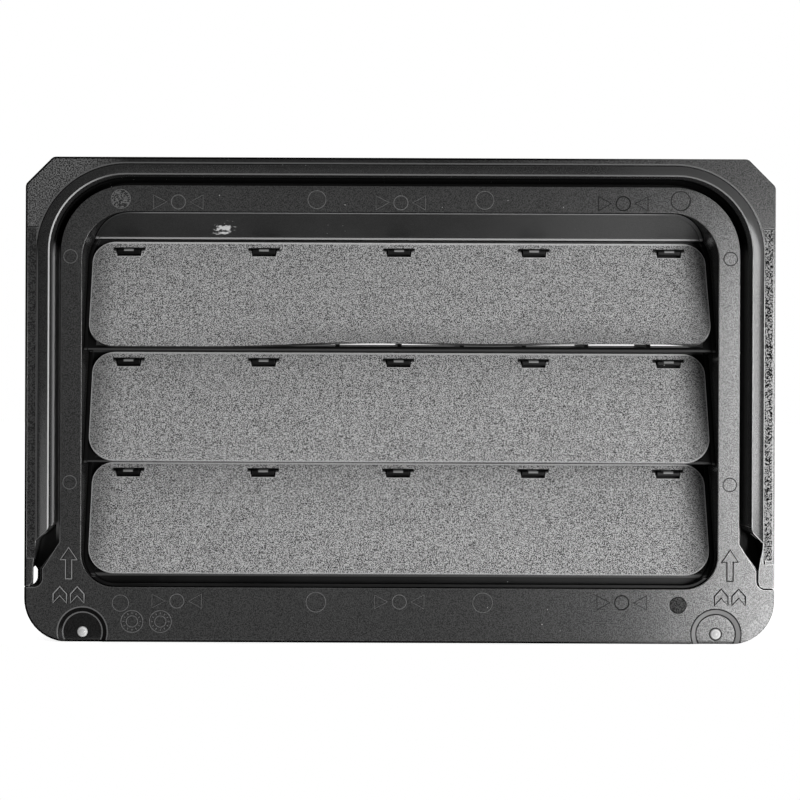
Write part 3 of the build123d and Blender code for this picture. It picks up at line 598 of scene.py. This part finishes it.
# Edges on the hood are painted pale as a highlight, less towards its ends, and creases black as shade.
hood_foot = (56.2 * mm, 56.8 * mm)
edge_highlight_tone = grey(tree, times(
    tree, step(tree, height, *hood_foot, 0.03, 0.35),
    step(tree, maths(tree, "ABSOLUTE", across), 100 * mm, 88 * mm, 0.2, 1.0)))
tone = tint(tree, times(tree, edge_and_crease_shading.outputs["Edges"], 0.5), tone, edge_highlight_tone)
tone = tint(tree, times(tree, edge_and_crease_shading.outputs["Creases"], 0.85), tone, 0.003)
tone = tint(tree, times(tree, dusty.outputs["Specks"], 0.7), tone, 0.35)

# The neck of each flap hook is painted bright as a glint where the light catches its top, and the front of
# each bar is painted a little paler than its sides, as the light falls on it.
hook_spacing = 49.2 * mm
row_spacing = 40.2 * mm
middle_axis = 15.2 * mm


def hook_distances(tree, across, height):
    """How far a point is beside the nearest hook, and how far above the axis of its row of hooks."""
    beside = maths(tree, "MODULO", maths(tree, "ADD", across, 10.5 * hook_spacing), hook_spacing)
    beside = maths(tree, "ABSOLUTE", maths(tree, "SUBTRACT", beside, hook_spacing / 2))
    above = maths(tree, "MODULO", maths(tree, "ADD", height, 5.5 * row_spacing - middle_axis), row_spacing)
    return beside, maths(tree, "SUBTRACT", above, row_spacing / 2)


from_hook, from_axis = hook_distances(tree, across, height)
from_outside = step(tree, facing, -0.3, -0.6)
bar_front_light = times(
    tree, band(tree, from_axis, 1.9 * mm, 2.1 * mm, 2.9 * mm, 3.1 * mm), from_outside,
    step(tree, height, 50 * mm, 49 * mm))
tone = tint(tree, times(tree, bar_front_light, 0.9), tone, 0.055)
neck_glint = times(
    tree, step(tree, from_hook, 1.9 * mm, 1.6 * mm), from_outside,
    band(tree, from_axis, -1.5 * mm, -1.3 * mm, -0.5 * mm, -0.3 * mm), step(tree, height, -35 * mm, -34 * mm))
tone = tint(tree, times(tree, neck_glint, 0.8), tone, 0.3)
scuff_at = Vector((-63.5 * mm, -7.5 * mm, 61.7 * mm))
from_scuff = tree.nodes.new("ShaderNodeVectorMath")
from_scuff.operation = "DISTANCE"
plug(tree, from_scuff.inputs[0], place)
plug(tree, from_scuff.inputs[1], scuff_at)
unevenness = times(tree, maths(tree, "SUBTRACT", 0.5, noise(tree, place, 560.0, 5.0)), 14 * mm)
scuff = step(tree, maths(tree, "ADD", from_scuff.outputs["Value"], unevenness), 3.4 * mm, 1.2 * mm)
tone = tint(tree, times(tree, scuff, 0.95), tone, 0.75)
tree.links.new(tone, shader.inputs["Base Color"])
shader.inputs["Roughness"].default_value = 0.42
shine = times(
    tree, step(tree, height, *hood_foot, 0.15, 0.5), maths(tree, "SUBTRACT", 1.0, times(tree, wall_shade, 0.96)))
tree.links.new(shine, shader.inputs["Specular IOR Level"])
tree.links.new(fine_skin(tree, fine_grain.outputs["Height"], 0.3 * mm), shader.inputs["Normal"])
dress("flap_carrier", grid_plastic)


# The three flaps are die-cut from 1 mm grey rubber sheet and hang on five hooks each. The upper one has
# taken a set: it stands a little open and its foot curls forward, so a thin slit of light shows under it.
rubber, tree, shader = new_material("flap_rubber", (0.25, 0.25, 0.25))
place = tree.nodes.new("ShaderNodeTexCoord").outputs["Object"]
across, depth, height = add(tree, "ShaderNodeSeparateXYZ", Vector=place).outputs
from_hook, from_axis = hook_distances(tree, across, height)
upward = split(tree, "ShaderNodeNewGeometry", "Normal")[2]
edge_and_crease_shading = use_group(tree, edge_highlight_and_crease_shade, Width=0.6 * mm)
stretched = add(tree, "ShaderNodeMapping", Vector=place, Scale=(1.0, 1.0, 0.09))
grain = noise(tree, place, 3000.0, 1.0, 0.5)
streaks = noise(tree, stretched.outputs[0], 260.0, 3.0, 0.6)
cloud = noise(tree, place, 40.0, 3.0, 0.55)
tone = tint(tree, step(tree, grain, 0.4, 0.6), 0.028, 0.465)
tone = tint(tree, times(tree, stripe(tree, streaks, 0.52, 0.004, 0.012), 0.25), tone, 0.6)
tone = tint(tree, times(tree, step(tree, cloud, 0.5, 0.8), 0.12), tone, 0.4)
# The flaps' ends are painted darker as shade from the opening's side walls, most at the right end.
left_end_shade = step(tree, across, -101 * mm, -111 * mm, 0.0, 0.5)
right_end_shade = step(tree, across, 98 * mm, 111 * mm, 0.0, 0.65)
tone = tint(tree, maths(tree, "MAXIMUM", left_end_shade, right_end_shade), tone, 0.06)

# Cut edges are painted pale as a highlight, but not round the windows or under the upper flap's foot, and so
# is a line along each flap's top. The windows' slits are painted dark inside as shade, and so is the underside
# of the upper flap's curled foot.
near_window = times(
    tree, step(tree, from_hook, 7 * mm, 6.5 * mm), band(tree, from_axis, -2.4 * mm, -1.9 * mm, 0.8 * mm, 1.2 * mm))
upper_foot = times(tree, band(tree, height, 15 * mm, 17 * mm, 21 * mm, 24 * mm), step(tree, depth, 0, -8 * mm))
cut_edge_highlight = times(
    tree, edge_and_crease_shading.outputs["Edges"], maths(tree, "SUBTRACT", 1.0, near_window), maths(tree, "SUBTRACT", 1.0, upper_foot))
tone = tint(tree, times(tree, cut_edge_highlight, 0.65), tone, 0.5)
top_edge_highlight = band(tree, from_axis, 1.3 * mm, 1.5 * mm, 2.3 * mm, 2.5 * mm)
tone = tint(tree, times(tree, top_edge_highlight, 0.6), tone, 0.62)
slit_shade = times(
    tree, step(tree, from_hook, 5.9 * mm, 5.7 * mm),
    band(tree, from_axis, -1.3 * mm, -1.15 * mm, -0.05 * mm, 0.1 * mm))
tone = tint(tree, times(tree, slit_shade, 0.9), tone, 0.01)
tone = tint(tree, times(tree, upper_foot, step(tree, upward, -0.6, -0.75)), tone, 0.02)
tree.links.new(tone, shader.inputs["Base Color"])
shader.inputs["Roughness"].default_value = 0.72
shader.inputs["Specular IOR Level"].default_value = 0.3
sheet_bump = add(tree, "ShaderNodeBump", Height=grain, Strength=0.25, Distance=0.12 * mm)
tree.links.new(sheet_bump.outputs[0], shader.inputs["Normal"])

lean = math.radians(20)
hinge_depth = 1.0 * mm
flap_long = 40 * mm
head_stays = 5 * mm
bend_long = 9 * mm
curl_starts = 27 * mm
column_wide = 4 * mm
sharp = math.radians(35)


def smooth(value, low, high):
    """0 below low, 1 above high, and a smooth step in between."""
    share = min(max((value - low) / (high - low), 0.0), 1.0)
    return share * share * (3 - 2 * share)


def foot_lift(x):
    """How far open the upper flap stands at x, from 0 to 1: two humps with a dip between them."""
    left_rise = smooth(x, -70 * mm, -5 * mm)
    dip = math.exp(-(((x - 31 * mm) / (24 * mm)) ** 2))
    right_fall = smooth(x, 92 * mm, 112 * mm)
    return 0.34 + 0.64 * left_rise - 0.23 * dip - 0.35 * right_fall


def hang(name, open_degrees, curl_degrees, lift):
    """A flap made from its sheet, cut into strips and bent about its hooks."""
    axis = next(j for j in frame["joints"] if j["name"] == name + "_hinge")["pos_m"][2]
    sheet = bmesh.new()
    sheet.from_mesh(nodes[name].data)
    bmesh.ops.remove_doubles(sheet, verts=sheet.verts, dist=0.001 * mm)
    down = Vector((0, -math.sin(lean), -math.cos(lean)))
    origin = Vector((0, hinge_depth, axis))
    row_high = down * 2 * mm
    cuts = [(origin + row_high * count, down) for count in range(1, 20)]
    cuts += [((column_wide * count, 0, 0), (1, 0, 0)) for count in range(-27, 28)]
    for point, across_cut in cuts:
        everything = sheet.verts[:] + sheet.edges[:] + sheet.faces[:]
        bmesh.ops.bisect_plane(sheet, geom=everything, plane_co=point, plane_no=across_cut)
    steps = 40
    front = Vector((0, -math.cos(lean), math.sin(lean)))
    for vertex in sheet.verts:
        offset = vertex.co - origin
        along = offset.dot(down)
        through = offset.dot(front)
        if along <= head_stays:
            continue
        share = lift(vertex.co.x)
        point = origin + down * head_stays
        turn = 0.0
        part = (along - head_stays) / steps
        for count in range(steps):
            reached = head_stays + part * (count + 0.5)
            turn = math.radians(open_degrees) * share * smooth(reached, head_stays, head_stays + bend_long)
            turn += math.radians(curl_degrees) * share * smooth(reached, curl_starts, flap_long)
            point += Vector((0, -math.sin(lean + turn), -math.cos(lean + turn))) * part
        normal = Vector((0, -math.cos(lean + turn), math.sin(lean + turn)))
        point += normal * through
        vertex.co = Vector((vertex.co.x, point.y, point.z))
    for edge in sheet.edges:
        edge.smooth = len(edge.link_faces) == 2 and edge.calc_face_angle() < sharp
    for side_face in sheet.faces:
        side_face.smooth = True
    mesh = bpy.data.meshes.new(name + "_sheet")
    sheet.to_mesh(mesh)
    sheet.free()
    mesh.materials.append(rubber)
    piece = bpy.data.objects.new(name + "_sheet", mesh)
    scene.collection.objects.link(piece)
    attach(piece, name)
    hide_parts(name)


hang("upper_flap", open_degrees=5.5, curl_degrees=24, lift=foot_lift)
hang("middle_flap", open_degrees=0.4, curl_degrees=2, lift=lambda x: 0.5 + 0.5 * math.sin(x * 45))
hang("lower_flap", open_degrees=0.4, curl_degrees=2, lift=lambda x: 0.5 + 0.5 * math.sin(x * 38 + 1.3))


# The foam ring behind the frame seals it to the body panel. It is cut from closed-cell sheet, whose cells
# show as a fine, matt grain.
foam, tree, shader = new_material("gasket_foam", (0.03, 0.03, 0.03))
place = tree.nodes.new("ShaderNodeTexCoord").outputs["Object"]
cells = add(tree, "ShaderNodeTexVoronoi", Vector=place, Scale=1400.0)
tone = tint(tree, step(tree, cells.outputs["Distance"], 0.1, 0.6), 0.012, 0.04)
tree.links.new(tone, shader.inputs["Base Color"])
shader.inputs["Roughness"].default_value = 0.9
cell_bump = add(tree, "ShaderNodeBump", Height=cells.outputs["Distance"], Strength=0.5, Distance=0.3 * mm)
tree.links.new(cell_bump.outputs[0], shader.inputs["Normal"])
dress("sealing_gasket", foam)


# A rough strip lies flush in each arm. The right one shows its worm-like surface, the left one is nearly
# smooth.
def strip_material(name, depth_of_worms):
    """A rough strip whose surface is covered with short, crooked grooves."""
    made, tree, shader = new_material(name, (0.06, 0.06, 0.06))
    place = tree.nodes.new("ShaderNodeTexCoord").outputs["Object"]
    ridged = maths(tree, "ABSOLUTE", maths(tree, "SUBTRACT", noise(tree, place, 950.0, 1.0), 0.5))
    groove = step(tree, ridged, 0.035, 0.075)
    tone = tint(tree, groove, 0.022 - 0.022 * depth_of_worms, 0.026 + 0.06 * depth_of_worms)
    tree.links.new(tone, shader.inputs["Base Color"])
    tree.links.new(times(tree, groove, 0.65), shader.inputs["Specular IOR Level"])
    shader.inputs["Roughness"].default_value = 0.28
    bump = add(tree, "ShaderNodeBump", Height=groove, Strength=0.3 * depth_of_worms, Distance=0.2 * mm)
    tree.links.new(bump.outputs[0], shader.inputs["Normal"])
    return made


for name, depth_of_worms in (("left_edge_strip", 0.2), ("right_edge_strip", 0.9)):
    dress(name, strip_material(name, depth_of_worms))


# The table: a plain pale floor under the vent, which keeps its shadow. It glows for the camera and in
# mirrors, since the photograph's background is white.
floor_mesh = bpy.data.meshes.new("floor")
floor_size = 3.0
floor_front = cad_box[0].y
sheet = bmesh.new()
bmesh.ops.create_grid(sheet, x_segments=1, y_segments=1, size=floor_size)
bmesh.ops.translate(sheet, verts=sheet.verts, vec=(0, floor_size + floor_front, cad_box[0].z))
sheet.to_mesh(floor_mesh)
sheet.free()
floor = bpy.data.objects.new("floor", floor_mesh)
scene.collection.objects.link(floor)
pale, tree, shader = new_material("pale_floor", (0.9, 0.9, 0.9))
shader.inputs["Base Color"].default_value = (0.9, 0.9, 0.9, 1)
shader.inputs["Roughness"].default_value = 0.9
rays = tree.nodes.new("ShaderNodeLightPath")
seen = maths(tree, "MINIMUM", maths(tree, "ADD", rays.outputs["Is Camera Ray"], maths(
    tree, "ADD", rays.outputs["Is Glossy Ray"], rays.outputs["Is Transmission Ray"])), 1.0)
glow = add(tree, "ShaderNodeEmission", Strength=times(tree, seen, 0.75))
both = tree.nodes.new("ShaderNodeAddShader")
tree.links.new(shader.outputs[0], both.inputs[0])
tree.links.new(glow.outputs[0], both.inputs[1])
tree.links.new(both.outputs[0], tree.nodes["Material Output"].inputs["Surface"])
floor_mesh.materials.append(pale)

# The room is white for the camera. Mirrored in the vent it is white behind it and dark in front, and it
# lights matt faces evenly.
world = bpy.data.worlds.new("room")
scene.world = world
world.use_nodes = True
tree = world.node_tree
tree.nodes.clear()
rays = tree.nodes.new("ShaderNodeLightPath")
away = split(tree, "ShaderNodeTexCoord", "Generated")[1]
behind = step(tree, away, 0.5, 0.8, 0.06, 1.0)
mirrored = maths(tree, "MINIMUM", maths(
    tree, "ADD", rays.outputs["Is Glossy Ray"], rays.outputs["Is Transmission Ray"]), 1.0)
ambient = 0.42
for_mirror = times(tree, mirrored, behind)
for_matt = times(tree, maths(tree, "SUBTRACT", 1.0, mirrored), ambient)
strength = maths(tree, "MAXIMUM", maths(tree, "ADD", for_mirror, for_matt), rays.outputs["Is Camera Ray"])
backdrop = add(tree, "ShaderNodeBackground", Color=(1, 1, 1, 1), Strength=strength)
room = tree.nodes.new("ShaderNodeOutputWorld")
tree.links.new(backdrop.outputs[0], room.inputs["Surface"])


def lamp(name, place, aim, width, height, radiance):
    """A soft, flat light of the given radiance."""
    light = bpy.data.lights.new(name, "AREA")
    light.shape = "RECTANGLE"
    light.size = width
    light.size_y = height
    light.energy = radiance * math.pi * width * height
    holder = bpy.data.objects.new(name, light)
    holder.location = place
    holder.rotation_euler = (Vector(aim) - Vector(place)).to_track_quat("-Z", "Y").to_euler()
    scene.collection.objects.link(holder)


lamp("window", place=(0.403, -0.70, -0.078), aim=(0, 0, -0.02), width=0.31, height=0.42, radiance=14.3)
lamp("side", place=(0.9, 0.25, 0.1), aim=(0.1, 0, 0), width=0.6, height=0.6, radiance=3.5)
